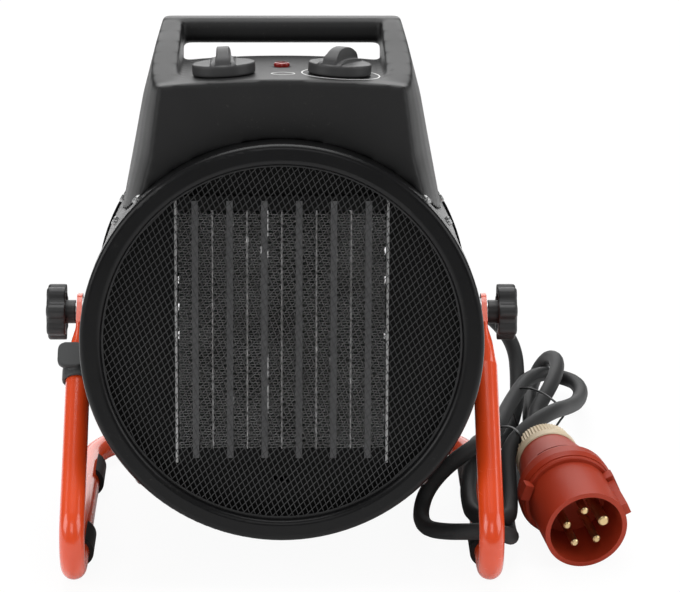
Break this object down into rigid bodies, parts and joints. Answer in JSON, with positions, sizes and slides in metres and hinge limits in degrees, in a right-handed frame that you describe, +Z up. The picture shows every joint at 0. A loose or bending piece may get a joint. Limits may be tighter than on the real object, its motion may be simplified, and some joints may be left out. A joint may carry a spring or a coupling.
{
  "type": "forced air heater",
  "caption": "Round electric fan heater: steel drum with mesh front, top controls and handle, tilting on a bent tube stand with a tied cord and industrial plug.",
  "frame": {"origin": "on the floor under the middle of the heater's and stand's outer box, without the cord", "axes": "+Z up, front (mesh and outlet) towards -Y, +X to the right hand of someone facing the front from outside"},
  "size_m": [0.388, 0.3755, 0.3325],
  "materials": {
    "aluminium_fins": "plain folded aluminium",
    "black_mesh": "satin black enamel on expanded steel",
    "black_steel": "gloss black enamel",
    "brass_pins": "bright nickelled brass",
    "bright_steel": "bright zinc plate",
    "cord_rubber": "matt black sheath",
    "cream_plastic": "matt moulded, cream",
    "dark_plastic": "matt moulded, black",
    "element_grey": "plain aluminium tube",
    "fan_aluminium": "plain pressed sheet",
    "foot_rubber": "soft matt black",
    "galvanised": "zinc-plated sheet",
    "heat_plastic": "matt moulded, dark",
    "housing_plastic": "finely textured moulded, black",
    "knob_plastic": "satin moulded, black",
    "motor_steel": "satin lacquer",
    "red_lens": "clear red lens",
    "red_paint": "gloss orange-red powder coat",
    "red_plastic": "semi-gloss moulded, red"
  },
  "bodies": {
    "stand": {"clamp_washers": "bright_steel", "cord_front_loop": "cord_rubber", "cord_hank": "cord_rubber", "cord_hook": "dark_plastic", "cord_inner_strand": "cord_rubber", "cord_lead": "cord_rubber", "cord_tail": "cord_rubber", "front_feet": "foot_rubber", "plug_body": "red_plastic", "plug_earth_pin": "brass_pins", "plug_nut": "cream_plastic", "plug_pins": "brass_pins", "plug_shroud": "red_plastic", "rear_feet": "foot_rubber", "stand_tube": "red_paint"},
    "heater": {"baffle_plate": "black_steel", "cable_gland": "dark_plastic", "drum_shell": "black_steel", "element_end_blocks": "heat_plastic", "element_side_rails": "galvanised", "element_terminals": "galvanised", "fan_motor": "motor_steel", "fan_shroud": "galvanised", "fin_dividers": "aluminium_fins", "fin_strips": "aluminium_fins", "front_mesh": "black_mesh", "front_ring": "black_steel", "gland_locknut": "dark_plastic", "gland_nut": "dark_plastic", "heater_bars": "element_grey", "indicator_lamp": "red_lens", "motor_bracket": "galvanised", "pivot_spacers": "dark_plastic", "rear_grille": "black_steel", "ring_screws": "bright_steel", "selector_switch_body": "dark_plastic", "side_screws": "bright_steel", "terminal_block": "cream_plastic", "thermal_cutout": "dark_plastic", "thermostat_body": "dark_plastic", "top_housing": "housing_plastic", "weld_nuts": "galvanised"},
    "fan": {"fan_impeller": "fan_aluminium", "motor_shaft": "bright_steel"},
    "thermostat_control": {"thermostat_knob": "knob_plastic", "thermostat_shaft": "bright_steel"},
    "selector_control": {"selector_knob": "knob_plastic", "selector_shaft": "bright_steel"},
    "clamp_right": {"star_knob_right": "knob_plastic", "clamp_stud_right": "bright_steel"},
    "clamp_left": {"star_knob_left": "knob_plastic", "clamp_stud_left": "bright_steel"}
  },
  "joints": [
    {"name": "tilt", "type": "hinge", "parent": "stand", "child": "heater", "pos_m": [0, 0.00987, 0.146], "axis": [-1, 0, 0], "range_deg": [-18, 2], "deforming": ["cord_lead"]},
    {"name": "clamp_turn_right", "type": "hinge", "parent": "heater", "child": "clamp_right", "pos_m": [0.14, 0.00987, 0.146], "axis": [1, 0, 0], "range_deg": [0, 360]},
    {"name": "clamp_turn_left", "type": "hinge", "parent": "heater", "child": "clamp_left", "pos_m": [-0.14, 0.00987, 0.146], "axis": [-1, 0, 0], "range_deg": [0, 360]},
    {"name": "thermostat_turn", "type": "hinge", "parent": "heater", "child": "thermostat_control", "pos_m": [-0.037, -0.00499, 0.31423], "axis": [-0.0529, 0.1355, 0.9894], "range_deg": [-270, 0]},
    {"name": "selector_turn", "type": "hinge", "parent": "heater", "child": "selector_control", "pos_m": [0.037, -0.00499, 0.31423], "axis": [0.0529, 0.1355, 0.9894], "range_deg": [0, 135]},
    {"name": "fan_spin", "type": "hinge", "parent": "heater", "child": "fan", "pos_m": [0, 0.01844, 0.14262], "axis": [0, 0.9877, -0.1564], "continuous": true}
  ]
}
